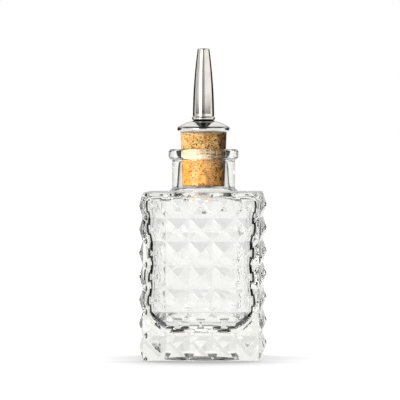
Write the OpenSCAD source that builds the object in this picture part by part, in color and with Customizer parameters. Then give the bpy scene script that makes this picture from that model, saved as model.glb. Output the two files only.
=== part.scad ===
// Square dash bottle for bitters: a pressed glass bottle with a diamond pattern, closed by a
// tapered cork that carries a steel dasher top. The origin is the centre of the base, +Z is up
// and the front face looks along -Y. All sizes are in millimetres.

/* [Body] */
// Width across the grooves of two opposite faces
body_w = 52; // [46:0.5:64]
// Height from the standing surface to the shoulder
body_h = 75.2; // [60:0.2:95]
// Diamonds side by side on each face
facet_cols = 5; // [3:1:7]
// Rows of diamonds from the base to the shoulder
facet_rows = 7; // [4:1:9]
// Height of each diamond above its grooves
facet_h = 1.9; // [0.8:0.1:2.6]
// Bevel round the shoulder and round the base
edge_bevel = 0.8; // [0.4:0.1:1.6]
// Glass between the grooves and the cavity
wall = 4; // [3:0.1:5.5]
// Glass below the cavity
base_t = 13; // [8:0.5:18]
// Glass between the cavity and the top of the shoulder
shoulder_t = 2.8; // [2:0.1:5]
// Radius of the cavity's upright corners
cavity_corner_r = 8.5; // [7.5:0.5:10]
// Radius between the cavity's floor and its sides
cavity_foot_r = 7; // [3:0.5:7.5]
// Radius between the cavity's sides and its ceiling
cavity_top_r = 3.5; // [2:0.5:5]
// Diameter of the shallow hollow under the base
punt_d = 35; // [24:1:40]
// Depth of the hollow under the base
punt_h = 0.8; // [0.3:0.1:1.5]

/* [Neck] */
// Height from the shoulder to the top of the lip
neck_h = 19.2; // [14:0.2:24]
// Length of the mouth that grips the cork
mouth_l = 1.6; // [1:0.1:4]
// How much wider the bore is at its foot than at the mouth, on the radius
bore_flare = 1.3; // [0.6:0.1:2]
// Glass between the foot of the bore and the outside of the neck
neck_wall = 2.7; // [2:0.1:3.5]
// How far the lip stands out from the neck
lip_out = 1.7; // [0.8:0.1:3]
// Height of the lip
lip_h = 4.8; // [4:0.1:7]
// Radius of the lip's outer edges
lip_round = 1.6; // [0.6:0.1:1.9]
// Fillet between the neck and the shoulder
neck_fillet = 2.5; // [1:0.1:4]
// Chamfer at the inner edge of the mouth
mouth_chamfer = 0.5; // [0.3:0.1:1]

/* [Cork] */
// Diameter of the cork's top
cork_top_d = 20.9; // [19:0.1:23]
// Diameter of the cork's foot
cork_foot_d = 19; // [16:0.1:19]
// Length of the cork
cork_l = 24.5; // [20:0.5:26]
// Depth of the cork's foot below the top of the lip
cork_in = 16.8; // [13:0.1:17]
// Chamfer round both ends of the cork
cork_chamfer = 0.4; // [0.2:0.1:1]

/* [Cap] */
// How far the cap stands out past the top of the cork
cap_over = 1.55; // [0.8:0.05:3]
// Thickness of the cap's rolled rim
rim_t = 1.9; // [1.6:0.1:2.4]
// Height of the dome above the middle of the rim
dome_h = 4.85; // [3.5:0.05:6]
// Thickness of the dome's sheet
dome_t = 0.8; // [0.6:0.1:1]
// Thickness of the plate under the dome
plate_t = 0.7; // [0.5:0.1:0.7]

/* [Stem] */
// Outer diameter of the tube through the cork
stem_d = 6; // [5:0.1:6.6]
// Bore of the tube through the cork
stem_bore = 4.4; // [3.4:0.1:4.6]
// Height of the head inside the spout
head_h = 2.6; // [1.5:0.1:4]
// Diameter of the washer under the cork
washer_d = 11; // [9:0.5:14]
// Thickness of the washer under the cork
washer_t = 0.6; // [0.4:0.1:1]
// How far the stem's lower end is flared past the washer's hole
flare_out = 0.9; // [0.5:0.1:1.2]
// Height of the flared end
flare_h = 0.7; // [0.5:0.1:1]

/* [Spout] */
// Outer diameter at the foot, above the bead
spout_foot_d = 9.8; // [9:0.1:12]
// Outer diameter at the tip
spout_tip_d = 5.3; // [4.6:0.1:6]
// Length from the bottom of the bead to the tip
spout_l = 32.4; // [24:0.2:40]
// Thickness of the spout's sheet
spout_t = 0.6; // [0.4:0.1:0.8]
// Thickness of the rolled bead at the foot
bead_t = 1.8; // [1.4:0.1:2.2]
// Depth of the nozzle plug below the tip
plug_in = 0.7; // [0.3:0.1:3]
// Length of the nozzle plug
plug_l = 4; // [2:0.5:8]
// Diameter of the hole that lets the dashes out
dash_hole = 1.6; // [1:0.1:2]

/* [Fits] */
// Gap between the cork and the mouth, on the radius
cork_gap = 0.1; // [0.05:0.01:0.2]
// Gap between the stem and the cork, on the radius
stem_gap = 0.05; // [0.02:0.01:0.1]
// Gap between the cap's plate and the top of the cork
seat_gap = 0.05; // [0.02:0.01:0.1]
// Gap between the steel pieces that are pressed together, on the radius
press_gap = 0.02; // [0.01:0.01:0.05]

/* [Hidden] */
$fn = 96;

sink = 1;    // depth that joined shapes reach into each other
over = 5;    // length that cutters run past what they cut
arc_n = 8;   // segments in a quarter turn of the cavity

// Heights, from the base up
lip_z = body_h + neck_h;
cork_z = lip_z - cork_in;
cork_top_z = cork_z + cork_l;
plate_z = cork_top_z + seat_gap;
rim_z = plate_z + rim_t / 2;
dome_z = rim_z + dome_h;
washer_z = cork_z - seat_gap - washer_t;
floor_z = base_t;
ceiling_z = body_h - shoulder_t;

// Radii
function cork_r(z) = (cork_foot_d + (cork_top_d - cork_foot_d) * (z - cork_z) / cork_l) / 2;
mouth_z = lip_z - mouth_l;
mouth_top_r = cork_r(lip_z) + cork_gap;
mouth_foot_r = cork_r(mouth_z) + cork_gap;
bore_r = mouth_foot_r + bore_flare;
neck_r = bore_r + neck_wall;
lip_r = neck_r + lip_out;
cap_r = cork_top_d / 2 + cap_over;
rim_r = cap_r - rim_t / 2;
stem_r = stem_d / 2;
dome_r = (rim_r * rim_r + dome_h * dome_h) / (2 * dome_h);
cavity_half = body_w / 2 - wall;

// The spout's bead rests on the dome, and the stem's head fills the spout's foot
bead_r = spout_foot_d / 2 - bead_t / 4;
function dome_top(r) = dome_z - dome_r + sqrt(dome_r * dome_r - r * r);
bead_reach = dome_r + bead_t / 2 + press_gap;
bead_z = dome_z - dome_r + sqrt(bead_reach * bead_reach - bead_r * bead_r);
spout_z = bead_z - bead_t / 2;
tip_z = spout_z + spout_l;
function spout_r(z) = (spout_foot_d + (spout_tip_d - spout_foot_d) * (z - bead_z) / (tip_z - bead_z)) / 2;

// Corner k of the ring of grid points at row j, counted anticlockwise from the front left
function grid_point(j, k) =
    let (side = floor(k / facet_cols), i = k - side * facet_cols,
         x = -body_w / 2 + i * body_w / facet_cols,
         y = -body_w / 2,
         z = edge_bevel + j * (body_h - 2 * edge_bevel) / facet_rows)
    [x * cos(90 * side) - y * sin(90 * side), x * sin(90 * side) + y * cos(90 * side), z];

// Tip of diamond k in row j
function facet_tip(j, k) =
    let (side = floor(k / facet_cols), i = k - side * facet_cols,
         x = -body_w / 2 + (i + 0.5) * body_w / facet_cols,
         y = -body_w / 2 - facet_h,
         z = edge_bevel + (j + 0.5) * (body_h - 2 * edge_bevel) / facet_rows)
    [x * cos(90 * side) - y * sin(90 * side), x * sin(90 * side) + y * cos(90 * side), z];

// Corner of the flat top or base of the body
function flat_corner(side, z) =
    let (h = body_w / 2 - edge_bevel)
    [[-h, -h, z], [h, -h, z], [h, h, z], [-h, h, z]][side];

// The square body with its diamonds, as one closed shape
module diamond_body() {
    ring = 4 * facet_cols;
    rows = facet_rows;
    tip0 = ring * (rows + 1);
    flat0 = tip0 + ring * rows;
    points = concat(
        [for (j = [0:rows], k = [0:ring - 1]) grid_point(j, k)],
        [for (j = [0:rows - 1], k = [0:ring - 1]) facet_tip(j, k)],
        [for (side = [0:3]) flat_corner(side, 0)],
        [for (side = [0:3]) flat_corner(side, body_h)]);
    diamonds = [for (j = [0:rows - 1], k = [0:ring - 1])
        let (n = (k + 1) % ring, a = j * ring + k, b = j * ring + n,
             c = b + ring, d = a + ring, p = tip0 + j * ring + k)
        each [[b, a, p], [c, b, p], [d, c, p], [a, d, p]]];
    base_bevel = [for (side = [0:3])
        let (here = flat0 + side, next = flat0 + (side + 1) % 4)
        each concat(
            [for (i = [0:facet_cols - 1])
                let (a = side * facet_cols + i, b = (a + 1) % ring) [here, a, b]],
            [[here, ((side + 1) * facet_cols) % ring, next]])];
    top_bevel = [for (side = [0:3])
        let (here = flat0 + 4 + side, next = flat0 + 4 + (side + 1) % 4, row = rows * ring)
        each concat(
            [for (i = [0:facet_cols - 1])
                let (a = side * facet_cols + i, b = (a + 1) % ring) [here, row + b, row + a]],
            [[here, next, row + ((side + 1) * facet_cols) % ring]])];
    flats = [[for (side = [0:3]) flat0 + side], [for (side = [3:-1:0]) flat0 + 4 + side]];
    polyhedron(points, concat(diamonds, base_bevel, top_bevel, flats), convexity = 4);
}

// Points round a square of half width h with corners of radius r, at height z
function soft_square(h, r, z) =
    [for (side = [0:3], a = [0:arc_n])
        let (turn = 90 * side + 90 * a / arc_n,
             cx = (h - r) * [1, -1, -1, 1][side],
             cy = (h - r) * [1, 1, -1, -1][side])
        [cx + r * cos(turn), cy + r * sin(turn), z]];

// The hollow inside: a square room with round corners, rounded to its floor and its ceiling
module cavity() {
    foot = [for (a = [0:arc_n]) let (t = 90 * a / arc_n)
        [floor_z + cavity_foot_r * (1 - cos(t)), cavity_foot_r * (1 - sin(t))]];
    top = [for (a = [arc_n:-1:0]) let (t = 90 * a / arc_n)
        [ceiling_z - cavity_top_r * (1 - cos(t)), cavity_top_r * (1 - sin(t))]];
    rings = [for (s = concat(foot, top))
        soft_square(cavity_half - s[1], cavity_corner_r - s[1], s[0])];
    n = len(rings[0]);
    last = len(rings) - 1;
    sides = [for (j = [0:last - 1], k = [0:n - 1])
        let (a = j * n + k, b = j * n + (k + 1) % n) [a, a + n, b + n, b]];
    ends = [[for (k = [0:n - 1]) k], [for (k = [n - 1:-1:0]) last * n + k]];
    polyhedron([for (r = rings) each r], concat(sides, ends), convexity = 2);
}

// Outline of the neck and its lip, to be turned about Z
module neck_outline() {
    translate([0, body_h - sink]) square([neck_r, neck_h + sink]);
    translate([0, body_h - sink]) square([neck_r + neck_fillet, sink]);
    difference() {
        translate([neck_r - sink, body_h]) square([neck_fillet + sink, neck_fillet]);
        translate([neck_r + neck_fillet, body_h + neck_fillet]) circle(neck_fillet);
    }
    translate([0, lip_z - lip_h + lip_round]) square([lip_r, lip_h - 2 * lip_round]);
    translate([0, lip_z - lip_h]) square([lip_r - lip_round, lip_h]);
    for (z = [lip_z - lip_h + lip_round, lip_z - lip_round])
        translate([lip_r - lip_round, z]) circle(lip_round);
}

// Outline of the bore, from the cavity's ceiling up through the mouth
module bore_outline() {
    flare = shoulder_t + sink;
    polygon([
        [0, ceiling_z - sink],
        [bore_r + flare, ceiling_z - sink],
        [bore_r, body_h],
        [mouth_foot_r, mouth_z],
        [mouth_top_r, lip_z],
        [mouth_top_r, lip_z + over],
        [0, lip_z + over]]);
    polygon([
        [0, lip_z - mouth_chamfer],
        [mouth_top_r, lip_z - mouth_chamfer],
        [mouth_top_r + mouth_chamfer, lip_z],
        [mouth_top_r + mouth_chamfer, lip_z + over],
        [0, lip_z + over]]);
}

module glass_bottle() {
    color([0.88, 0.93, 0.91, 0.35])
    difference() {
        union() {
            diamond_body();
            rotate_extrude() neck_outline();
        }
        cavity();
        rotate_extrude() bore_outline();
        translate([0, 0, -over]) cylinder(h = over + punt_h, d = punt_d);
    }
}

module cork_stopper() {
    color([0.86, 0.66, 0.38])
    difference() {
        rotate_extrude() polygon([
            [0, cork_z],
            [cork_foot_d / 2 - cork_chamfer, cork_z],
            [cork_r(cork_z + cork_chamfer), cork_z + cork_chamfer],
            [cork_r(cork_top_z - cork_chamfer), cork_top_z - cork_chamfer],
            [cork_top_d / 2 - cork_chamfer, cork_top_z],
            [0, cork_top_z]]);
        translate([0, 0, cork_z - over]) cylinder(h = cork_l + 2 * over, r = stem_r + stem_gap);
    }
}

// Stamped dome with its rim rolled under
module cap_dome() {
    color([0.78, 0.77, 0.75])
    rotate_extrude() {
        difference() {
            intersection() {
                translate([0, dome_z - dome_r]) circle(dome_r);
                translate([0, rim_z]) square([rim_r, dome_h]);
            }
            translate([0, dome_z - dome_r]) circle(dome_r - dome_t);
            translate([0, rim_z - over]) square([stem_r + press_gap, dome_h + 2 * over]);
        }
        translate([rim_r, rim_z]) circle(rim_t / 2);
    }
}

// Flat plate inside the rim, which bears on the cork
module cap_plate() {
    color([0.70, 0.69, 0.67])
    translate([0, 0, plate_z])
    difference() {
        cylinder(h = plate_t, r = rim_r - rim_t / 2 - press_gap);
        translate([0, 0, -over]) cylinder(h = plate_t + 2 * over, r = stem_r + press_gap);
    }
}

// Tube that carries the liquid through the cork, headed above the dome and flared at its foot
module stem_tube() {
    head_z = dome_top(stem_r + press_gap) + press_gap;
    head_top_z = bead_z + head_h;
    head_r = spout_r(head_top_z) - spout_t - press_gap;
    tube_z = washer_z - press_gap;
    color([0.72, 0.71, 0.69])
    difference() {
        union() {
            translate([0, 0, tube_z - flare_h]) cylinder(h = head_top_z - tube_z + flare_h, r = stem_r);
            translate([0, 0, head_z]) cylinder(h = head_top_z - head_z, r = head_r);
            translate([0, 0, tube_z - flare_h])
                cylinder(h = flare_h, r1 = stem_r + flare_out, r2 = stem_r + flare_out / 2);
        }
        translate([0, 0, tube_z - over]) cylinder(h = head_top_z - tube_z + 2 * over, d = stem_bore);
    }
}

// Washer that the flared stem pulls up against the foot of the cork
module stem_washer() {
    color([0.74, 0.73, 0.71])
    translate([0, 0, washer_z])
    difference() {
        cylinder(h = washer_t, d = washer_d);
        translate([0, 0, -over]) cylinder(h = washer_t + 2 * over, r = stem_r + press_gap);
    }
}

// Tapered spout with a rolled bead at its foot
module spout_cone() {
    color([0.80, 0.79, 0.77])
    rotate_extrude() {
        polygon([
            [spout_r(bead_z) - spout_t, bead_z],
            [spout_r(bead_z), bead_z],
            [spout_r(tip_z), tip_z],
            [spout_r(tip_z) - spout_t, tip_z]]);
        difference() {
            translate([bead_r, bead_z]) circle(bead_t / 2);
            square([spout_r(bead_z) - spout_t, dome_z + over]);
        }
    }
}

// Plug in the tip with the small hole that doses the dashes
module nozzle_plug() {
    top_z = tip_z - plug_in;
    foot_z = top_z - plug_l;
    inset = spout_t + press_gap;
    color([0.62, 0.61, 0.59])
    difference() {
        translate([0, 0, foot_z])
            cylinder(h = plug_l, r1 = spout_r(foot_z) - inset, r2 = spout_r(top_z) - inset);
        translate([0, 0, foot_z - over]) cylinder(h = plug_l + 2 * over, d = dash_hole);
    }
}

glass_bottle();
cork_stopper();
cap_dome();
cap_plate();
stem_tube();
stem_washer();
spout_cone();
nozzle_plug();
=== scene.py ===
"""Looks of the square dash bottle: pressed glass, natural cork and a steel dasher.

Sizes are in millimetres in the part's frame, with +Z up and the front face along -Y. They go to
metres where a mesh, a lamp or a node needs them. Scales of patterns are in patterns per metre.
"""
import math

import bmesh
import bpy
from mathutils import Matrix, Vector, noise


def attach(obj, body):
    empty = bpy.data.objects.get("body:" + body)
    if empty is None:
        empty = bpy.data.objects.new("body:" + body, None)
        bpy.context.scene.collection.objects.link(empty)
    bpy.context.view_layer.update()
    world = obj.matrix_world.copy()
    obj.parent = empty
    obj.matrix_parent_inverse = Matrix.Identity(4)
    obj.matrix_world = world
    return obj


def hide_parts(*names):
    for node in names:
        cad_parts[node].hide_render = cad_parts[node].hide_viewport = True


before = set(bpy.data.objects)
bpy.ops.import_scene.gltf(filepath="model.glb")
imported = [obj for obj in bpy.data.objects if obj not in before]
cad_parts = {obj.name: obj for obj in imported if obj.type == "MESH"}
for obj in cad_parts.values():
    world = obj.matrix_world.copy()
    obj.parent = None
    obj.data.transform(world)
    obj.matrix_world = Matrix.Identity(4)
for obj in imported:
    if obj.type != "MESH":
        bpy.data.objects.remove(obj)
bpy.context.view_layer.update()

MM = 0.001

# Turns the metres of a node into millimetres, along each axis
TO_MM = (1 / MM, 1 / MM, 1 / MM)

# Points of a mesh that are nearer than this become one
WELD = 0.002

# Glass body, with the grid of diamonds on each side
BODY_W = 52.0
BODY_H = 75.2
COLS = 5
ROWS = 7
FACET_H = 1.9
EDGE = 0.8

# Rounded edges of the body, as (inset, depth) from the groove planes and the end
BEVEL = [(0.0, EDGE), (0.18, 0.38), (0.45, 0.12), (0.95, 0.0), (2.5, 0.0)]

# Rounding of the diamonds, as shares of half a diamond
RIDGE = 0.06
GROOVE = 0.06
TIP = 0.08

# Cavity, which widens to its top and foot and follows the rows of diamonds
WALL = 3.0
BASE_T = 13.0
SHOULDER_T = 2.2
CAVITY_CORNER = 4.5
CAVITY_FOOT = 11.0
CAVITY_TOP = 1.8
CAVITY_WAVE = 0.2
CAVITY_GRAIN = 14.0
WIDE_TOP = 1.4
WIDE_TOP_Z = (46, 66)
WIDE_FOOT = 0.8
WIDE_FOOT_Z = (20, 44)
ROW_WAVE = 0.15

# Hollow under the foot, its side as (inset, share of its height), and a ring of painted shade on that
# side: dark matt glass for the shade under the foot, which shows through the base
PUNT_R = 19.5
PUNT_H = 3.2
PUNT_SIDE = [(0.0, 0.03), (0.3, 0.3), (0.7, 0.6), (1.4, 0.82), (2.6, 0.94), (4.5, 1.0), (9.0, 1.0)]
PUNT_SHADE_R = (PUNT_R - 2.8, PUNT_R - 0.2)
PUNT_SHADE_Z = (0.5 * PUNT_H, 0.97 * PUNT_H)
PUNT_SHADE_COLOUR = (0.06, 0.06, 0.055)
PUNT_SHADE_SHARE = 0.7

# Glass neck, its lip, and the bore that runs out into the cavity at the root
LIP_Z = 94.4
LIP_R = 15.89
LIP_H = 4.8
LIP_ROUND = 1.6
MOUTH_L = 1.6
MOUTH_TOP_R = 10.25
MOUTH_FOOT_R = 10.19
MOUTH_ROUND = 0.5
BORE_R = 11.49
BORE_FOOT_Z = BODY_H + 1.2
NECK_R = 14.19
NECK_FILLET = 2.5
ROOT_R = 4.9
ROOT_T = 4.0

# Glass itself: GLASS_CLEAR is the share of a lamp's light that each surface lets by in its shadow
GLASS_IOR = 1.5
GLASS_TINT = (0.93, 0.93, 0.86)
GLASS_DENSITY = 6.0
GLASS_CLEAR = 0.85

# Points round the glass
PER_DIAMOND = 8
RING = 4 * COLS * PER_DIAMOND

# Cork, with its worn edges and the pores and slits that are sunk into it
CORK_Z = 77.6
CORK_TOP_Z = 102.1
CORK_TOP_R = 10.45
CORK_FOOT_R = 9.5
CORK_BORE_R = 3.05
CORK_CHAMFER = 0.4
CORK_WORN = 0.15
CORK_RING = 288
CORK_STEPS = 108
CORK_PORE = 0.42
CORK_GRAIN = 0.05
GRAIN_SIZE = 0.55
PORE_SIZE = (0.85, 0.85, 0.6)
PORE_CROWD = 6.5
PORE_LEAN = 0.05
CORK_ROUGH = 0.8
CORK_SPECULAR = 0.25

# Colours of the cork. Flecks and pits thicken towards +X, by their lean for each millimetre, and the
# bark is on that side, with a ragged edge. That side is darker partly as the cork's own bark and partly
# as painted shade on the side away from the light.
CORK_COLOURS = [(0.34, (0.62, 0.30, 0.075)), (0.46, (0.80, 0.46, 0.13)), (0.56, (0.86, 0.56, 0.20)),
                (0.68, (0.90, 0.66, 0.32))]
CORK_PALE = (0.95, 0.78, 0.52)
PALE_RANGE = (0.56, 0.66)
PALE_SHARE = 0.7
CORK_FLECK = (0.22, 0.065, 0.010)
FLECK_RANGE = (0.62, 0.68)
FLECK_SHARE = 0.95
FLECK_LEAN = 0.0025
FLECK_CROWD = 0.2
FLECK_RELIEF = 0.12
CORK_PORE_COLOUR = (0.060, 0.018, 0.005)
PORE_RANGE = (0.05, 0.75)
PORE_SHARE = 0.92
PIT_RANGE = (0.63, 0.67)
PIT_SHARE = 0.9
PIT_LEAN = 0.009
CORK_BARK_AND_SHADE = (0.12, 0.035, 0.008)
BARK_AND_SHADE_X = (11.0, 13.6)
BARK_AND_SHADE_RAGGED = 9.0
BARK_AND_SHADE_SHARE = 0.8

# Bands of the cork by height: a cream painted highlight behind the lip, fine dark lines of which the
# two at the lip's top and foot are painted shade, a pale painted highlight on top, and a darker foot
CORK_PAINTED_HIGHLIGHT = (0.94, 0.79, 0.57)
HIGHLIGHT_BAND_Z = (90.1, 93.8)
HIGHLIGHT_BAND_SOFT = 0.5
HIGHLIGHT_BAND_SHARE = 0.8
STREAK_LEAN = 0.014
STREAK_RANGE = (0.50, 0.64)
TOP_HIGHLIGHT_Z = (101.0, 101.8)
TOP_HIGHLIGHT_SHARE = 0.7
# Fine dark lines by height; the two at the lip's top and foot are painted shade
LINES_Z = [(77.0, 78.2), (89.6, 90.0), (94.1, 94.6)]
LINE_SOFT = 0.15
LINE_SHARE = 0.6
CORK_FOOT_TONE = (1.0, 0.76, 0.40)
FOOT_TONE_Z = (88.5, 90.0)

# Patterns in the cork and on the steel, as scale, detail and roughness
PATCH_NOISE = ((260, 260, 420), 4.0, 0.6)
FLECK_NOISE = ((1000, 1000, 1500), 4.0, 0.7)
CROWD_NOISE = ((330, 330, 420), 2.0, 0.5)
PALE_NOISE = ((1100, 1100, 1500), 3.0, 0.6)
BARK_AND_SHADE_NOISE = ((380, 380, 300), 4.0, 0.7)
STREAK_NOISE = ((90, 90, 1100), 3.0, 0.6)
PIT_NOISE = ((620, 620, 800), 3.0, 0.6)
CLOUD_NOISE = ((220, 220, 220), 4.0, 0.5)
CLOUD_RANGE = (0.4, 0.7)
SMUDGE_NOISE = ((90, 90, 60), 5.0, 0.5)
SMUDGE_RANGE = (0.35, 0.7)

# Steel dome and its rolled rim, with painted shade on top of the rim, in the crease where the dome turns
# down
STEEL_RING = 192
RIM_Z = 103.35
RIM_R = 11.05
RIM_W = 1.9
RIM_H = 2.4
RIM_START = 66
RIM_SHADE_Z = (104.0, 104.15)
RIM_SHADE = 0.9
DOME_Z = 107.75
DOME_R = 21.5
DOME_T = 0.8
HOLE_R = 3.02
HOLE_ROUND = 0.15

# Steel spout, with a rolled bead at its foot and a rounded edge at its tip
BEAD_Z = 108.236
BEAD_R = 4.45
BEAD_T = 1.8
# Painted shade under the bead, where it sits on the dome, fading in between these depths below its
# middle
BEAD_SHADE = (0.6, 0.75)
SPOUT_FOOT_R = 4.9
SPOUT_TIP_R = 2.65
SPOUT_T = 0.6
SPOUT_SWELL = 0.54
SPOUT_EDGE = 0.14
SPOUT_FOOT_Z = BEAD_Z + 1.15
TIP_Z = 139.736

# Dark colour of the painted shade in the steel's creases and under its bead
CREASE_SHADE_COLOUR = (0.035, 0.030, 0.026)

# Camera, as the photograph was taken. SIGHT is how far it sees, in metres.
CAMERA_AZIMUTH = 2.7
CAMERA_DISTANCE = 1900.0
CAMERA_Z = 103.0
VIEW_Z = 71.4
VIEW_LEFT = 1.6
LENS = 379.0
SENSOR = 36.0
SIGHT = 100.0

# Floor: how much it glows by itself, seen by the camera, through glass and in gloss
FLOOR_SIZE = 4000.0
FLOOR_WHITE = 0.25
FLOOR_LIFT = 0.80
FLOOR_LIFT_FAR = (200.0, 800.0)
# Through glass the floor glows less near the bottle, as a painted shadow, but not right under it
FLOOR_LIFT_THROUGH = 0.58
FLOOR_THROUGH_FAR = (150.0, 600.0)
UNDER_LIFT = 0.82
UNDER_REACH = (40.0, 110.0)
FLOOR_GLOSS = 0.8

# Shadow where the bottle stands: all round it, and longer ahead of it, towards -Y
SHADOW_RAYS = 16
SHADOW_REACH = 50.0
SHADOW_SHARE = (0.4, 1.0)
SHADOW_TONE = 0.6
AHEAD_REACH = 120.0
AHEAD_SHARE = (0.55, 1.0)
AHEAD_TONE = 0.2
AHEAD_Y = (-30.0, -20.0)
AHEAD_X = (22.0, 60.0)

# How bright the room is through glass. A spread of 0 is along an axis and 1 is between two axes.
ROOM_COLOUR = (1.0, 1.0, 0.97)
ROOM_SPREAD = (0.0, 0.4)
ROOM_STRAIGHT = 0.94
ROOM_CORNER = 0.86
ROOM_UP_HEIGHT = (0.0, 0.3)
ROOM_UP = 0.99

# Through glass, for rays that a surface turned back inside it, and for rays with many turns
TURNED_ACROSS = (0.55, 0.62)
TURNED_BEHIND = 0.99
TURNED_SIDE = 0.0
LONG_WAY = (7.5, 15.5)
LONG_TONE = 0.3

# Light that matt surfaces get from the left and from the right, and the one lamp
LIGHT_LEFT = 1.15
LIGHT_RIGHT = 0.4
LAMP_PLACE = (-1500, -1700, 1500)
LAMP_AIM = (0, 0, 70)
LAMP_SIZE = 1200
LAMP_POWER = 60

# What gloss shows of the room, by direction: across is 1 at the right, along is 1 straight behind, and
# height is 1 straight up. In gloss that another gloss shows, TWICE_GLOSS of it is left.
MIRROR_HEIGHT = (0.2, 0.4)
MIRROR_WHITE = 1.0
MIRROR_HIGH = 0.88
TWICE_GLOSS = 0.35

# Each place from here on is darker by its GLOSS share, apart from the soft box, which is brighter by it.

# Gaps on both sides of the backdrop, which also show on the floor from a distance on
GAP_ALONG = (0.36, 0.88)
GAP_HEIGHT = (-0.4, 0.3)
GAP_GLOSS = 1.0
GAP_FLOOR = (250.0, 600.0)

# Strip in front with the camera in it
FRONT_ALONG = (-0.985, -0.93)
FRONT_HEIGHT = (-0.4, 0.75)
FRONT_GLOSS = 0.65

# Soft box in front on the left
BOX_ACROSS = (-0.66, -0.36)
BOX_HEIGHT = (-0.2, 0.5)
BOX_GLOSS = 2.4

# Ceiling over the front and the middle, with a lighter stripe across it
CEILING_ALONG = 0.45
CEILING_HEIGHT = (0.5, 1.1)
CEILING_GLOSS = 0.95
STRIPE_ALONG = (-0.75, -0.2)
STRIPE_SHARE = 0.35

# Side of the room towards the left and behind, below the ceiling
SIDE_LEAN = 0.4
SIDE_RANGE = (-0.35, 0.1)
SIDE_HEIGHT = (0.25, 0.45)
SIDE_GLOSS = 0.42

# Table in front, level with the horizon
TABLE_ALONG = -0.1
TABLE_HEIGHT = (-0.3, 0.05)
TABLE_GLOSS = 0.8

# Softness of these places' edges
SOFT_EDGE = 0.03
SOFT_BOX = 0.04
SOFT_HEIGHT = 0.06
SOFT_STRIPE = 0.08

BOUNCES = 16
DIFFUSE_BOUNCES = 6


# Mesh helpers

def add_object(name, mesh, material):
    mesh.materials.append(material)
    made = bpy.data.objects.new(name, mesh)
    bpy.context.scene.collection.objects.link(made)
    return made


def closed_mesh(name, points, faces):
    """Mesh from points in millimetres, with doubles merged and its normals outwards."""
    mesh = bpy.data.meshes.new(name)
    mesh.from_pydata([Vector(p) * MM for p in points], [], faces)
    shape = bmesh.new()
    shape.from_mesh(mesh)
    bmesh.ops.remove_doubles(shape, verts=shape.verts, dist=WELD * MM)
    bmesh.ops.recalc_face_normals(shape, faces=shape.faces)
    open_edges = [e for e in shape.edges if len(e.link_faces) != 2]
    if open_edges:
        raise ValueError(f"{name} has {len(open_edges)} open edges")
    if shape.calc_volume(signed=True) < 0:
        bmesh.ops.reverse_faces(shape, faces=shape.faces)
    shape.to_mesh(mesh)
    shape.free()
    return mesh


def smooth(made, angle):
    """Smooth shading that keeps flats flat, and keeps edges sharper than the angle."""
    made.data.shade_smooth()
    made.data.set_sharp_from_angle(angle=math.radians(angle))
    weighted = made.modifiers.new("flat faces", "WEIGHTED_NORMAL")
    weighted.keep_sharp = True
    weighted.weight = 100


def ease(value, low, high):
    """0 below low and 1 above high, with a smooth step between."""
    share = min(max((value - low) / (high - low), 0.0), 1.0)
    return share * share * (3 - 2 * share)


def mix(first, last, share):
    return first + (last - first) * share


def spread(first, last, steps):
    """Even steps from first to last, both included."""
    return [mix(first, last, i / steps) for i in range(steps + 1)]


def arc(cx, cz, r, start, end, steps):
    """Points on an arc from start to end degrees, both ends included."""
    turns = [math.radians(t) for t in spread(start, end, steps)]
    return [(cx + r * math.cos(t), cz + r * math.sin(t)) for t in turns]


def waves(x, y, z, size):
    """Smooth noise from -1 to 1 at a point, with the size of its pattern along each axis."""
    return noise.noise(Vector((x / size[0], y / size[1], z / size[2])))


def loft(rings, closed=False):
    """Points and faces of a skin over rings of equal length."""
    n = len(rings[0])
    points = [p for ring in rings for p in ring]
    faces = []
    for j in range(len(rings) if closed else len(rings) - 1):
        a, b = j * n, (j + 1) % len(rings) * n
        for k in range(n):
            faces.append((a + k, a + (k + 1) % n, b + (k + 1) % n, b + k))
    return points, faces


def capped(rings, tip):
    """Skin over rings, with the last one closed by a fan to a point."""
    points, faces = loft(rings)
    n = len(rings[0])
    start = len(points) - n
    points.append(tip)
    faces += [(start + k, start + (k + 1) % n, start + n) for k in range(n)]
    return points, faces


def circle_ring(r, z, count=RING, start=-135):
    """Ring of points round Z, which starts at the front left corner."""
    turns = [math.radians(start + 360 * k / count) for k in range(count)]
    return [(r * math.cos(t), r * math.sin(t), z) for t in turns]


def mark_points(mesh, name, values):
    """Keeps one number for each point of the mesh, for its material to read."""
    mark = mesh.attributes.new(name, "FLOAT", "POINT")
    mark.data.foreach_set("value", values)


def lathe(name, profile, segments, crease_shade):
    """Closed mesh of a closed (radius, height) profile turned about Z, marked for painted shade where
    the last argument, given (r, z), says.
    """
    rings = [circle_ring(r, z, segments) for r, z in profile]
    mesh = closed_mesh(name, *loft(rings, closed=True))
    mark_points(mesh, "crease_shade", [crease_shade(r, z) for r, z in profile for _ in range(segments)])
    return mesh


def on_side(side, x, y, z):
    """The point of the front side taken to another side of the square."""
    for _ in range(side):
        x, y = -y, x
    return (x, y, z)


# Glass bottle

HALF = BODY_W / 2
HALF_X = HALF / COLS
HALF_Z = (BODY_H - 2 * EDGE) / ROWS / 2
CORNER_IN = (HALF_X - FACET_H) * GROOVE / 4


def border_steps(s):
    """Places along one side of a diamond's square of half width s, from its corner on."""
    inner = PER_DIAMOND - 2
    return [-s] + [(s - RIDGE) * (2 * i / inner - 1) for i in range(inner + 1)]


def diamond_ring(s):
    """Places once round a diamond's square of half width s, with its corners rounded in."""
    places = []
    for side in range(4):
        for i, t in enumerate(border_steps(s)):
            u, v = t, -s
            if i == 0 and s < 1:
                u = v = -s + RIDGE / 4
            x, y, _ = on_side(side, u, v, 0)
            places.append((x, y))
    return places


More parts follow.
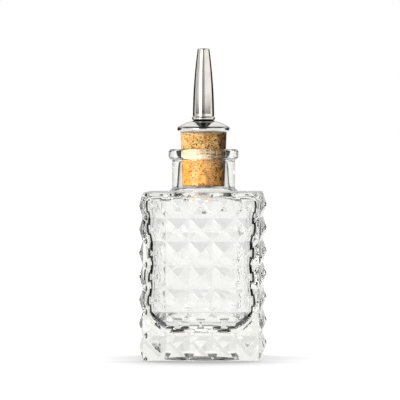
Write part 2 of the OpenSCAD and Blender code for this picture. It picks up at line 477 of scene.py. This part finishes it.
def diamond(side, col, row):
    """Points and faces of one diamond with rounded ridges, grooves and tip."""
    cx = -HALF + (2 * col + 1) * HALF_X
    cz = EDGE + (2 * row + 1) * HALF_Z
    levels = [(1.0, FACET_H * GROOVE / 2), (1 - GROOVE, FACET_H * GROOVE), (TIP, FACET_H * (1 - TIP))]
    rings = []
    for s, level in levels:
        ring = []
        for u, v in diamond_ring(s):
            x, out, z = cx + u * HALF_X, level, cz + v * HALF_Z
            # The outermost points meet the body's edges and corners
            if s == 1:
                if min(z, BODY_H - z) < EDGE + 1e-6:
                    out = 0.0
                if abs(x) > HALF - 1e-6:
                    out = -CORNER_IN
                    x = math.copysign(HALF - CORNER_IN, x)
            ring.append(on_side(side, x, -HALF - out, z))
        rings.append(ring)
    return capped(rings, on_side(side, cx, -HALF - FACET_H * (1 - TIP / 2), cz))


def square_ring(inset, z):
    """Ring round the body at an inset from its groove planes, in step with the diamonds."""
    ring = []
    share = (HALF - inset) / HALF
    for side in range(4):
        for col in range(COLS):
            for t in border_steps(1.0):
                x = -HALF + (2 * col + 1 + t) * HALF_X
                y = -HALF
                if abs(x) > HALF - 1e-6:
                    x = y = -HALF + CORNER_IN
                ring.append(on_side(side, x * share, y * share, z))
    return ring


def soft_square_ring(half, r, z):
    """Ring round a square with round corners, which starts at the front left corner."""
    bend = PER_DIAMOND
    straight = RING // 4 - 2 * bend
    ring = []
    c = half - r
    for side in range(4):
        front = arc(-c, -c, r, 225, 270, bend)
        front += [(x, -half) for x in spread(-c, c, straight)[1:-1]]
        front += arc(c, -c, r, 270, 315, bend)[:-1]
        ring += [on_side(side, x, y, z) for x, y in front]
    return ring


def neck_rings():
    """Rings from the shoulder up the neck, over the lip and down the bore to the cavity."""
    lip_low = LIP_Z - LIP_H
    mouth_low = LIP_Z - MOUTH_L
    profile = arc(NECK_R + NECK_FILLET, BODY_H + NECK_FILLET, NECK_FILLET, 270, 180, 6)
    profile += [(NECK_R, z) for z in (82.0, 86.0, lip_low - 0.7)]
    profile += arc(LIP_R - LIP_ROUND, lip_low + LIP_ROUND, LIP_ROUND, 270, 360, 6)
    profile += arc(LIP_R - LIP_ROUND, LIP_Z - LIP_ROUND, LIP_ROUND, 0, 90, 6)
    profile += arc(MOUTH_TOP_R + MOUTH_ROUND, LIP_Z - MOUTH_ROUND, MOUTH_ROUND, 90, 180, 4)
    profile += list(zip(spread(MOUTH_FOOT_R, BORE_R, 8), spread(mouth_low, BORE_FOOT_Z, 8)))[:-1]
    profile += arc(BORE_R + ROOT_R, BODY_H - ROOT_T + ROOT_R, ROOT_R, 180, 270, 14)
    return [circle_ring(r, z) for r, z in profile]


def moulded(ring):
    """The cavity's ring as it follows the mould: out behind each row of diamonds, and near its ends."""
    z = ring[0][2]
    out = WIDE_TOP * ease(z, *WIDE_TOP_Z) + WIDE_FOOT * (1 - ease(z, *WIDE_FOOT_Z))
    turn = math.pi * (z - EDGE - HALF_Z) / HALF_Z
    wave = ROW_WAVE * math.cos(turn) * ease(z, BASE_T + 2, BASE_T + 10)
    grown = []
    for x, y, _ in ring:
        far = max(abs(x), abs(y))
        near_corner = ease(min(abs(x), abs(y)), 10, 15)
        share = 1 + (out + wave * near_corner) * ease(far, 10, 20) / far
        grown.append((x * share, y * share, z))
    return grown


def uneven(ring):
    """The cavity's ring with the slow waves that blown glass has."""
    waved = []
    for x, y, z in ring:
        wave = waves(x, y, z, (CAVITY_GRAIN,) * 3) * CAVITY_WAVE
        reach = math.hypot(x, y)
        waved.append((x + x / reach * wave, y + y / reach * wave, z))
    return waved


def cavity_rings():
    """Rings from the ceiling down the cavity's sides and over its floor."""
    ceiling = BODY_H - SHOULDER_T
    half = HALF - WALL
    high, low = ceiling - CAVITY_TOP, BASE_T + CAVITY_FOOT
    rings = [soft_square_ring(half - inset, CAVITY_CORNER - inset, z)
             for inset, z in arc(CAVITY_TOP, high, CAVITY_TOP, 90, 180, 7)]
    rings += [soft_square_ring(half, CAVITY_CORNER, z) for z in spread(high, low, 40)[1:-1]]
    rings += [soft_square_ring(half - inset, CAVITY_CORNER, z)
              for inset, z in arc(CAVITY_FOOT, low, CAVITY_FOOT, 180, 270, 12)]
    rings = [uneven(moulded(ring)) for ring in rings]
    flat = rings[-1]
    rings += [[(x * share, y * share, z) for x, y, z in flat] for share in spread(1, 0, 8)[1:-1]]
    return rings


def punt_shade(point):
    """1 on the side of the punt, where the glass is darkened with painted shade, and 0 on the rest of
    the glass.
    """
    inside = PUNT_SHADE_R[0] < math.hypot(point.x, point.y) < PUNT_SHADE_R[1]
    return 1.0 if inside and PUNT_SHADE_Z[0] < point.z < PUNT_SHADE_Z[1] else 0.0


def glass_mesh():
    """The whole bottle as one closed skin: diamonds, shoulder, neck, bore, cavity and base."""
    top = [square_ring(inset, BODY_H - depth) for inset, depth in BEVEL]
    base = [square_ring(inset, depth) for inset, depth in BEVEL]
    base.append(circle_ring(PUNT_R + 0.6, 0))
    base += [circle_ring(PUNT_R - inset, PUNT_H * share) for inset, share in PUNT_SIDE]
    parts = [diamond(side, col, row) for side in range(4) for col in range(COLS) for row in range(ROWS)]
    parts.append(capped(top + neck_rings() + cavity_rings(), (0, 0, BASE_T)))
    parts.append(capped(base, (0, 0, PUNT_H)))
    points, faces = [], []
    for part_points, part_faces in parts:
        start = len(points)
        points += part_points
        faces += [tuple(start + i for i in face) for face in part_faces]
    mesh = closed_mesh("bottle", points, faces)
    mark_points(mesh, "punt_shade", [punt_shade(point.co / MM) for point in mesh.vertices])
    return mesh


# Cork stopper

def cork_hollow(x, y, z):
    """Depth of the pores and slits at a point of the cork's surface, from 0 to 1."""
    crowd = ease(waves(x, y, z, (PORE_CROWD,) * 3) + PORE_LEAN * x, -0.35, 0.60)
    pores = ease(waves(x, y, z, PORE_SIZE), 0.60 - 0.22 * crowd, 0.80 - 0.22 * crowd)
    slant = Vector((x / 0.55 + z / 1.6, y / 0.55 - z / 1.6, z / 1.1 + 40))
    slits = ease(noise.noise(slant), 0.62 - 0.28 * crowd, 0.84 - 0.28 * crowd)
    return max(pores, 0.8 * slits)


def cork_profile():
    """Closed outline of the cork as (radius, height, share of the relief that it gets there)."""
    inner = CORK_BORE_R + CORK_WORN
    foot = CORK_FOOT_R - CORK_CHAMFER
    top = CORK_TOP_R - CORK_CHAMFER
    low, high = CORK_Z + 1.2 * CORK_CHAMFER, CORK_TOP_Z - 1.2 * CORK_CHAMFER
    profile = [(inner, CORK_Z, 0.3)]
    profile += [(r, CORK_Z, 0.6) for r in spread(CORK_BORE_R, foot, 12)[1:-1]]
    profile += [(r, z, 0.8) for r, z in arc(foot, CORK_Z + CORK_CHAMFER, CORK_CHAMFER, 270, 350, 4)]
    for z in spread(low, high, CORK_STEPS):
        share = (z - CORK_Z) / (CORK_TOP_Z - CORK_Z)
        profile.append((mix(CORK_FOOT_R, CORK_TOP_R, share), z, 1.0))
    profile += [(r, z, 0.8) for r, z in arc(top, CORK_TOP_Z - CORK_CHAMFER, CORK_CHAMFER, 10, 90, 4)]
    profile += [(r, CORK_TOP_Z, 0.6) for r in spread(top, CORK_BORE_R, 12)[1:-1]]
    profile += [(inner, CORK_TOP_Z, 0.3), (CORK_BORE_R, CORK_TOP_Z - CORK_WORN, 0.0)]
    profile += [(CORK_BORE_R, CORK_Z + CORK_WORN, 0.0)]
    return profile


def cork_mesh():
    """Tapered cork with a bore, its pores sunk into the surface and its ends a little worn."""
    rings = []
    hollows = []
    for r, z, share in cork_profile():
        ring = []
        # The flat ends sink along Z, and all the rest sinks towards the axis
        inward = share if CORK_Z + 0.01 < z < CORK_TOP_Z - 0.01 else 0.0
        for x, y, _ in circle_ring(r, z, CORK_RING):
            hollow = cork_hollow(x, y, z) * share
            grain = (0.5 + 0.5 * waves(x, y, z, (GRAIN_SIZE,) * 3)) * share
            deep = CORK_PORE * hollow + CORK_GRAIN * grain
            lift = 0.0 if inward else math.copysign(deep, CORK_Z + 1 - z)
            ring.append((x * (1 - inward * deep / r), y * (1 - inward * deep / r), z + lift))
            hollows.append(hollow)
        rings.append(ring)
    mesh = closed_mesh("cork", *loft(rings, closed=True))
    mark_points(mesh, "hollow", hollows)
    return mesh


# Steel dasher

def dome_height(r, under=0.0):
    """Height of the dome's skin, or of a skin under it, at a radius."""
    return DOME_Z - DOME_R + math.sqrt((DOME_R - under) ** 2 - r * r)


def dome_profile():
    """Outline of the stamped dome, with its edge rolled under."""
    roll = [(r, RIM_Z + (z - RIM_Z) * RIM_H / RIM_W)
            for r, z in arc(RIM_R, RIM_Z, RIM_W / 2, RIM_START, -170, 36)]
    profile = [(HOLE_R, dome_height(HOLE_R) - HOLE_ROUND)]
    profile += [(r, dome_height(r)) for r in spread(HOLE_R + HOLE_ROUND, roll[0][0], 40)[:-1]]
    profile += roll
    profile += [(r, dome_height(r, DOME_T)) for r in spread(roll[-1][0], HOLE_R, 24)[1:]]
    return profile


def dome_crease_shade(r, z):
    """Painted shade on top of the rolled rim, in the crease where the dome turns down."""
    return RIM_SHADE * ease(z, *RIM_SHADE_Z) if r > RIM_R + 0.3 else 0.0


def spout_radius(z, under=0.0):
    """Radius of the spout's skin, or of a skin under it. It swells a little between its ends."""
    share = (z - BEAD_Z) / (TIP_Z - BEAD_Z)
    swell = SPOUT_SWELL * 4 * share * (1 - share)
    return mix(SPOUT_FOOT_R, SPOUT_TIP_R, share) + swell - under


def spout_profile():
    """Outline of the tapered spout, from the rolled bead up to the rounded tip and down inside."""
    edge = SPOUT_EDGE
    shoulder = TIP_Z - edge
    steps = 30
    profile = arc(BEAD_R, BEAD_Z, BEAD_T / 2, -100, 62, 18)
    profile += [(spout_radius(SPOUT_FOOT_Z) + 0.05, SPOUT_FOOT_Z - 0.22)]
    profile += [(spout_radius(z), z) for z in spread(SPOUT_FOOT_Z, shoulder, steps)]
    profile += arc(spout_radius(TIP_Z) - edge, shoulder, edge, 20, 90, 4)
    profile += arc(spout_radius(TIP_Z, SPOUT_T) + edge, shoulder, edge, 90, 180, 4)
    profile += [(spout_radius(z, SPOUT_T), z) for z in spread(shoulder, BEAD_Z - 0.3, steps)[1:]]
    return profile


def spout_crease_shade(r, z):
    """1 under the bead, where it sits on the dome: painted shade of that contact."""
    return ease(BEAD_Z - z, *BEAD_SHADE) if r > SPOUT_FOOT_R - 1 else 0.0


# Node helpers

class Graph:
    """The nodes of one material or world. A value is a number, a tuple or another node's output."""

    def __init__(self, tree):
        self.nodes = tree.nodes
        self.links = tree.links

    def feed(self, socket, value):
        if isinstance(value, bpy.types.NodeSocket):
            self.links.new(value, socket)
        elif socket.type == "RGBA":
            socket.default_value = (*value, 1)
        else:
            socket.default_value = value

    def add(self, kind, inputs=None, **settings):
        """New shader node with its settings, and with its inputs fed by name or number."""
        node = self.nodes.new("ShaderNode" + kind)
        for name, setting in settings.items():
            setattr(node, name, setting)
        for key, value in (inputs or {}).items():
            self.feed(node.inputs[key], value)
        return node

    def math(self, operation, *values):
        return self.add("Math", dict(enumerate(values)), operation=operation).outputs[0]

    def times(self, *values):
        product = values[0]
        for value in values[1:]:
            product = self.math("MULTIPLY", product, value)
        return product

    def dimmed(self, value, share):
        """1 where the value is 0, and less by the share where it is 1."""
        return self.math("MULTIPLY_ADD", value, -share, 1.0)

    def step(self, value, low, high, at_low=0.0, at_high=1.0):
        """Goes smoothly from one value to another as the input passes from low to high."""
        inputs = {"Value": value, "From Min": low, "From Max": high, "To Min": at_low, "To Max": at_high}
        return self.add("MapRange", inputs, interpolation_type="SMOOTHSTEP").outputs["Result"]

    def between(self, value, low, high, soft):
        """1 where the value is between low and high, with soft ends."""
        return self.times(self.step(value, low - soft, low + soft),
                          self.step(value, high - soft, high + soft, 1.0, 0.0))

    def mix(self, share, first, second):
        return self.add("Mix", {0: share, 2: first, 3: second}).outputs[0]

    def mix_colour(self, share, first, second, blend="MIX"):
        inputs = {0: share, 6: first, 7: second}
        return self.add("Mix", inputs, data_type="RGBA", blend_type=blend).outputs[2]

    def mix_shader(self, share, first, second):
        return self.add("MixShader", {0: share, 1: first, 2: second}).outputs[0]

    def vector(self, operation, *values):
        return self.add("VectorMath", dict(enumerate(values)), operation=operation).outputs

    def split(self, vector):
        return self.add("SeparateXYZ", {0: vector}).outputs

    def place(self, scale):
        """Object coordinates times a scale for each axis."""
        spot = self.add("TexCoord").outputs["Object"]
        return self.add("Mapping", {"Vector": spot, "Scale": scale}).outputs["Vector"]

    def noise(self, scale, detail, roughness):
        """Grey noise with its own scale for each axis."""
        inputs = {"Vector": self.place(scale), "Scale": 1.0, "Detail": detail, "Roughness": roughness}
        return self.add("TexNoise", inputs).outputs["Fac"]

    def ramp(self, value, stops):
        """Colours over a value, from (place, colour) stops."""
        node = self.add("ValToRGB", {"Fac": value})
        elements = node.color_ramp.elements
        while len(elements) < len(stops):
            elements.new(0.5)
        for element, (place, colour) in zip(elements, stops):
            element.position = place
            element.color = (*colour, 1)
        return node.outputs["Color"]

    def mark(self, name):
        """The number that mark_points kept."""
        return self.add("Attribute", attribute_name=name).outputs["Fac"]

    def bump(self, height, relief):
        """Normal of a fine relief, whose height 1 is the relief in millimetres."""
        return self.add("Bump", {"Height": height, "Distance": relief * MM}).outputs["Normal"]

    def near_shade(self, reach, share, tone):
        """1 in the open, down to the tone where things are near."""
        near = self.add("AmbientOcclusion", {"Distance": reach * MM}, samples=SHADOW_RAYS)
        return self.step(near.outputs["AO"], *share, tone, 1.0)


def new_material(name):
    material = bpy.data.materials.new(name)
    material.use_nodes = True
    return material, Graph(material.node_tree), material.node_tree.nodes["Principled BSDF"]


# Materials

def glass_material():
    """Clear glass with a faint tint in its depth, and dark matt where its points are marked, as painted
    shade on the side of the punt.
    """
    material, graph, shader = new_material("pressed_glass")
    shader.inputs["Base Color"].default_value = (1, 1, 1, 1)
    shader.inputs["Roughness"].default_value = 0.0
    shader.inputs["IOR"].default_value = GLASS_IOR
    shader.inputs["Transmission Weight"].default_value = 1.0
    # Painted shade: the punt's side turns dark matt where marked, and worn holds the glass with this
    # painted shade
    matt = graph.add("BsdfDiffuse", {"Color": PUNT_SHADE_COLOUR}).outputs[0]
    worn = graph.mix_shader(graph.times(graph.mark("punt_shade"), PUNT_SHADE_SHARE), shader.outputs[0], matt)
    path = graph.add("LightPath").outputs
    clear = graph.add("BsdfTransparent").outputs[0]
    lets_by = graph.mix_shader(graph.times(path["Is Shadow Ray"], GLASS_CLEAR), worn, clear)
    tint = graph.add("VolumeAbsorption", {"Color": GLASS_TINT, "Density": GLASS_DENSITY})
    out = graph.nodes["Material Output"]
    graph.feed(out.inputs["Surface"], lets_by)
    graph.feed(out.inputs["Volume"], tint.outputs["Volume"])
    return material


def steel_material(name, colour, dull, roughness, grain, relief):
    """Steel with fine grain, faint smudges in its gloss, slight clouds in its colour and painted shade
    where its points are marked.
    """
    material, graph, shader = new_material(name)
    shader.inputs["Metallic"].default_value = 1.0
    clouds = graph.step(graph.noise(*CLOUD_NOISE), *CLOUD_RANGE)
    smudges = graph.step(graph.noise(*SMUDGE_NOISE), *SMUDGE_RANGE, *roughness)
    # Painted shade: the colour goes dark where the mesh marks a crease or a contact
    body = graph.mix_colour(graph.mark("crease_shade"), graph.mix_colour(clouds, colour, dull), CREASE_SHADE_COLOUR)
    graph.feed(shader.inputs["Base Color"], body)
    graph.feed(shader.inputs["Roughness"], smudges)
    graph.feed(shader.inputs["Normal"], graph.bump(graph.noise(grain, 3.0, 0.5), relief))
    return material


def cork_material():
    """Cork with warm mottling, dark pores where the mesh is hollow, a side darker partly by painted
    shade, and bands of painted highlight and shade.
    """
    material, graph, shader = new_material("natural_cork")
    x, _, z = graph.split(graph.place(TO_MM))

    def leaning(value, lean):
        """The value, and more of it towards +X."""
        return graph.math("MULTIPLY_ADD", x, lean, value)

    body = graph.ramp(graph.noise(*PATCH_NOISE), CORK_COLOURS)
    flecks = graph.noise(*FLECK_NOISE)
    crowd = graph.noise(*CROWD_NOISE)
    flecked = graph.math("MULTIPLY_ADD", crowd, FLECK_CROWD, leaning(flecks, FLECK_LEAN))
    flecked = graph.step(flecked, *FLECK_RANGE, 0.0, FLECK_SHARE)
    body = graph.mix_colour(flecked, body, CORK_FLECK)
    pale = graph.step(graph.noise(*PALE_NOISE), *PALE_RANGE, 0.0, PALE_SHARE)
    body = graph.mix_colour(pale, body, CORK_PALE)
    # Darker +X side: partly the cork's own bark and partly painted shade on the side away from the light
    bark_and_shade = graph.math("MULTIPLY_ADD", graph.noise(*BARK_AND_SHADE_NOISE), BARK_AND_SHADE_RAGGED, x)
    body = graph.mix_colour(graph.step(bark_and_shade, *BARK_AND_SHADE_X, 0.0, BARK_AND_SHADE_SHARE), body, CORK_BARK_AND_SHADE)

    # Painted highlight: a cream band behind the lip, broken by streaks that thin it out towards +X
    highlight_streaks = leaning(graph.noise(*STREAK_NOISE), STREAK_LEAN)
    highlight_streaks = graph.step(highlight_streaks, *STREAK_RANGE, HIGHLIGHT_BAND_SHARE, 0.0)
    body = graph.mix_colour(graph.times(graph.between(z, *HIGHLIGHT_BAND_Z, HIGHLIGHT_BAND_SOFT), highlight_streaks), body, CORK_PAINTED_HIGHLIGHT)
    # Painted highlight round the cork's top edge, under the rim
    body = graph.mix_colour(graph.step(z, *TOP_HIGHLIGHT_Z, 0.0, TOP_HIGHLIGHT_SHARE), body, CORK_PAINTED_HIGHLIGHT)
    # Fine dark lines; the two at the lip's top and foot are painted shade
    for low, high in LINES_Z:
        line = graph.between(z, low, high, LINE_SOFT)
        body = graph.mix_colour(graph.times(line, LINE_SHARE), body, CORK_BARK_AND_SHADE)
    # The cork is darker and more orange below the lip
    body = graph.mix_colour(graph.step(z, *FOOT_TONE_Z, 1.0, 0.0), body, CORK_FOOT_TONE, "MULTIPLY")

    pores = graph.step(graph.mark("hollow"), *PORE_RANGE, 0.0, PORE_SHARE)
    pits = leaning(graph.noise(*PIT_NOISE), PIT_LEAN)
    pores = graph.math("MAXIMUM", pores, graph.step(pits, *PIT_RANGE, 0.0, PIT_SHARE))
    graph.feed(shader.inputs["Base Color"], graph.mix_colour(pores, body, CORK_PORE_COLOUR))
    shader.inputs["Roughness"].default_value = CORK_ROUGH
    shader.inputs["Specular IOR Level"].default_value = CORK_SPECULAR
    graph.feed(shader.inputs["Normal"], graph.bump(flecks, FLECK_RELIEF))
    return material


# Camera

def make_camera():
    data = bpy.data.cameras.new("camera")
    data.lens = LENS
    data.sensor_width = SENSOR
    data.clip_end = SIGHT
    camera = bpy.data.objects.new("camera", data)
    bpy.context.scene.collection.objects.link(camera)
    a = math.radians(CAMERA_AZIMUTH)
    right = Vector((math.cos(a), math.sin(a), 0))
    back = Vector((math.sin(a), -math.cos(a), 0))
    aim = right * -VIEW_LEFT + Vector((0, 0, VIEW_Z))
    place = right * -VIEW_LEFT + back * CAMERA_DISTANCE + Vector((0, 0, CAMERA_Z))
    camera.location = place * MM
    camera.rotation_mode = "QUATERNION"
    camera.rotation_quaternion = (aim - place).to_track_quat("-Z", "Y")
    bpy.context.scene.camera = camera


# Room: backdrop, floor and light

def compass(graph, direction):
    """Where a direction points on the level, as its X and Y on the unit circle, and its height."""
    level = graph.vector("NORMALIZE", graph.vector("MULTIPLY", direction, (1, 1, 0))[0])[0]
    across, along, _ = graph.split(level)
    height = graph.split(graph.vector("NORMALIZE", direction)[0])["Z"]
    return across, along, height


def gathers_light(graph, path):
    """1 for rays that gather light for a matt surface."""
    return graph.math("GREATER_THAN", path["Diffuse Depth"], 0.5)


def twice_tone(graph, path):
    """How bright things are in gloss: darker where one shiny surface shows another."""
    return graph.dimmed(graph.math("GREATER_THAN", path["Glossy Depth"], 1.5), 1.0 - TWICE_GLOSS)


def gap_tone(graph, along):
    """1 in the gaps on both sides of the backdrop."""
    return graph.between(along, *GAP_ALONG, SOFT_EDGE)


def room_tone(graph, path, direction):
    """How bright the room is through glass: darker to rays that were turned back or had a long way."""
    across, along, height = compass(graph, direction)
    both = graph.times(across, along)
    plain = graph.step(graph.times(both, both, 4.0), *ROOM_SPREAD, ROOM_STRAIGHT, ROOM_CORNER)
    plain = graph.times(plain, graph.step(height, *ROOM_UP_HEIGHT, 1.0, ROOM_UP))
    sideways = graph.math("SUBTRACT", graph.math("ABSOLUTE", across), graph.math("MAXIMUM", height, 0.0))
    turned = graph.step(sideways, *TURNED_ACROSS, TURNED_BEHIND, TURNED_SIDE)
    turned_back = graph.math("GREATER_THAN", path["Glossy Depth"], 0.5)
    way = graph.step(path["Ray Depth"], *LONG_WAY, 1.0, LONG_TONE)
    return graph.times(graph.mix(turned_back, plain, turned), way)


def floor_lift(graph, path, place, distance):
    """How much the floor glows: more far off, less in the bottle's shadow, and apart through glass,
    where a painted shadow dims it out to about 600 mm but not right under the bottle.
    """
    x, y, _ = graph.split(place)
    beside = graph.math("ABSOLUTE", x)
    front = graph.times(graph.step(y, *AHEAD_Y, 1.0, 0.0), graph.step(beside, *AHEAD_X, 1.0, 0.0))
    shade = graph.mix(front, graph.near_shade(SHADOW_REACH, SHADOW_SHARE, SHADOW_TONE),
                      graph.near_shade(AHEAD_REACH, AHEAD_SHARE, AHEAD_TONE))
    seen = graph.times(graph.step(distance, *FLOOR_LIFT_FAR, FLOOR_LIFT, 1.0), shade)
    under = graph.math("MAXIMUM", beside, graph.math("ABSOLUTE", y))
    through = graph.math("MAXIMUM", graph.step(under, *UNDER_REACH, UNDER_LIFT, 0.0),
                         graph.step(distance, *FLOOR_THROUGH_FAR, FLOOR_LIFT_THROUGH, FLOOR_LIFT))
    return graph.mix(path["Is Transmission Ray"], seen, through)


def floor_tone(graph, path, place, distance):
    """How bright the floor is to the camera, in gloss and through glass."""
    _, along, _ = compass(graph, place)
    gap = graph.times(gap_tone(graph, along), graph.step(distance, *GAP_FLOOR))
    gloss = graph.times(graph.dimmed(gap, 1.0), FLOOR_GLOSS, twice_tone(graph, path))
    seen = graph.mix(path["Is Glossy Ray"], 1.0, gloss)
    return graph.mix(path["Is Transmission Ray"], seen, room_tone(graph, path, place))


def make_floor():
    """White floor that keeps the shadow and fades into the white backdrop."""
    mesh = bpy.data.meshes.new("floor")
    size = FLOOR_SIZE * MM
    mesh.from_pydata([(-size, -size, 0), (size, -size, 0), (size, size, 0), (-size, size, 0)], [],
                     [(0, 1, 2, 3)])
    material = bpy.data.materials.new("floor")
    material.use_nodes = True
    material.node_tree.nodes.clear()
    graph = Graph(material.node_tree)
    path = graph.add("LightPath").outputs
    position = graph.add("NewGeometry").outputs["Position"]
    place = graph.vector("MULTIPLY", position, TO_MM)[0]
    distance = graph.vector("LENGTH", place)["Value"]
    lift = floor_lift(graph, path, place, distance)
    tone = floor_tone(graph, path, place, distance)
    shown = path["Is Camera Ray"]
    for kind in ("Is Glossy Ray", "Is Transmission Ray"):
        shown = graph.math("MAXIMUM", shown, path[kind])
    shown = graph.times(shown, graph.dimmed(gathers_light(graph, path), 1.0))
    white = (FLOOR_WHITE, FLOOR_WHITE, FLOOR_WHITE)
    matt = graph.add("BsdfDiffuse", {"Color": graph.mix_colour(tone, (0.0, 0.0, 0.0), white)})
    colour = graph.mix_colour(path["Is Transmission Ray"], (1.0, 1.0, 1.0), ROOM_COLOUR)
    glow = graph.add("Emission", {"Color": colour, "Strength": graph.times(lift, shown, tone)})
    both = graph.add("AddShader", {0: matt.outputs[0], 1: glow.outputs[0]})
    graph.add("OutputMaterial", {"Surface": both.outputs[0]})
    floor = add_object("floor", mesh, material)


def mirror_tone(graph, path, direction):
    """What gloss shows of the room: white, with its dark places and the bright soft box."""
    across, along, height = compass(graph, direction)
    gap = graph.times(gap_tone(graph, along), graph.between(height, *GAP_HEIGHT, SOFT_HEIGHT))
    front = graph.times(graph.step(along, *FRONT_ALONG, 1.0, 0.0),
                        graph.between(height, *FRONT_HEIGHT, SOFT_HEIGHT))
    stripe = graph.between(along, *STRIPE_ALONG, SOFT_STRIPE)
    ceiling = graph.times(graph.between(height, *CEILING_HEIGHT, SOFT_EDGE),
                          graph.math("LESS_THAN", along, CEILING_ALONG),
                          graph.dimmed(stripe, STRIPE_SHARE))
    lean = graph.math("MULTIPLY_ADD", across, -SIDE_LEAN, along)
    side = graph.times(graph.step(lean, *SIDE_RANGE), graph.step(height, *SIDE_HEIGHT, 1.0, 0.0))
    table = graph.times(graph.between(height, *TABLE_HEIGHT, SOFT_EDGE),
                        graph.math("LESS_THAN", along, TABLE_ALONG))
    mirror = graph.step(height, *MIRROR_HEIGHT, MIRROR_WHITE, MIRROR_HIGH)
    for dark, share in ((gap, GAP_GLOSS), (front, FRONT_GLOSS), (ceiling, CEILING_GLOSS),
                        (side, SIDE_GLOSS), (table, TABLE_GLOSS)):
        mirror = graph.times(mirror, graph.dimmed(dark, share))
    box = graph.times(graph.between(across, *BOX_ACROSS, SOFT_BOX),
                      graph.between(height, *BOX_HEIGHT, SOFT_HEIGHT),
                      graph.math("LESS_THAN", along, 0.0))
    mirror = graph.math("MULTIPLY_ADD", box, BOX_GLOSS, mirror)
    return graph.times(mirror, twice_tone(graph, path))


def make_world():
    """White backdrop all round, with what gloss and glass show of the room, and its light."""
    world = bpy.data.worlds.new("studio")
    bpy.context.scene.world = world
    world.use_nodes = True
    world.cycles.sampling_method = "NONE"
    graph = Graph(world.node_tree)
    background = graph.nodes["Background"]
    path = graph.add("LightPath").outputs
    direction = graph.add("TexCoord").outputs["Generated"]
    through = path["Is Transmission Ray"]
    seen = graph.mix(through, mirror_tone(graph, path, direction), room_tone(graph, path, direction))
    seen = graph.mix(path["Is Camera Ray"], seen, 1.0)
    light = graph.step(graph.split(direction)["X"], -1.0, 1.0, LIGHT_LEFT, LIGHT_RIGHT)
    graph.feed(background.inputs["Strength"], graph.mix(gathers_light(graph, path), seen, light))
    graph.feed(background.inputs["Color"], graph.mix_colour(through, (1.0, 1.0, 1.0), ROOM_COLOUR))


def make_lamp():
    """Soft key light from the front left, which gloss doesn't show."""
    data = bpy.data.lights.new("key", "AREA")
    data.shape = "SQUARE"
    data.size = LAMP_SIZE * MM
    data.energy = LAMP_POWER
    lamp = bpy.data.objects.new("key", data)
    lamp.location = Vector(LAMP_PLACE) * MM
    lamp.visible_glossy = False
    lamp.rotation_mode = "QUATERNION"
    lamp.rotation_quaternion = (Vector(LAMP_AIM) - Vector(LAMP_PLACE)).to_track_quat("-Z", "Y")
    bpy.context.scene.collection.objects.link(lamp)


def main():
    scene = bpy.context.scene
    scene.view_settings.view_transform = "Standard"
    scene.cycles.max_bounces = BOUNCES
    scene.cycles.transmission_bounces = BOUNCES
    scene.cycles.glossy_bounces = BOUNCES
    scene.cycles.diffuse_bounces = DIFFUSE_BOUNCES

    make_camera()
    make_floor()
    make_world()
    make_lamp()

    glass = add_object("bottle", glass_mesh(), glass_material())
    smooth(glass, 50)
    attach(glass, "bottle")
    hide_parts("glass_bottle")

    cork = add_object("cork", cork_mesh(), cork_material())
    smooth(cork, 60)
    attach(cork, "cork")
    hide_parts("cork_stopper")

    polished = steel_material("polished_steel", colour=(0.90, 0.88, 0.85), dull=(0.84, 0.82, 0.78),
                              roughness=(0.03, 0.09), grain=(500, 500, 500), relief=0.002)
    dome = add_object("dome", lathe("dome", dome_profile(), STEEL_RING, dome_crease_shade), polished)
    smooth(dome, 40)
    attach(dome, "dasher")
    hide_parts("cap_dome")

    satin = steel_material("satin_steel", colour=(0.88, 0.84, 0.78), dull=(0.79, 0.75, 0.68),
                           roughness=(0.09, 0.15), grain=(2600, 2600, 90), relief=0.006)
    spout = add_object("spout", lathe("spout", spout_profile(), STEEL_RING, spout_crease_shade), satin)
    smooth(spout, 40)
    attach(spout, "dasher")
    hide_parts("spout_cone")

    plain = steel_material("turned_steel", colour=(0.74, 0.73, 0.71), dull=(0.64, 0.63, 0.60),
                           roughness=(0.16, 0.30), grain=(90, 90, 5200), relief=0.010)
    for node in ("cap_plate", "stem_tube", "stem_washer", "nozzle_plug"):
        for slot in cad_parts[node].material_slots:
            slot.material = plain


main()
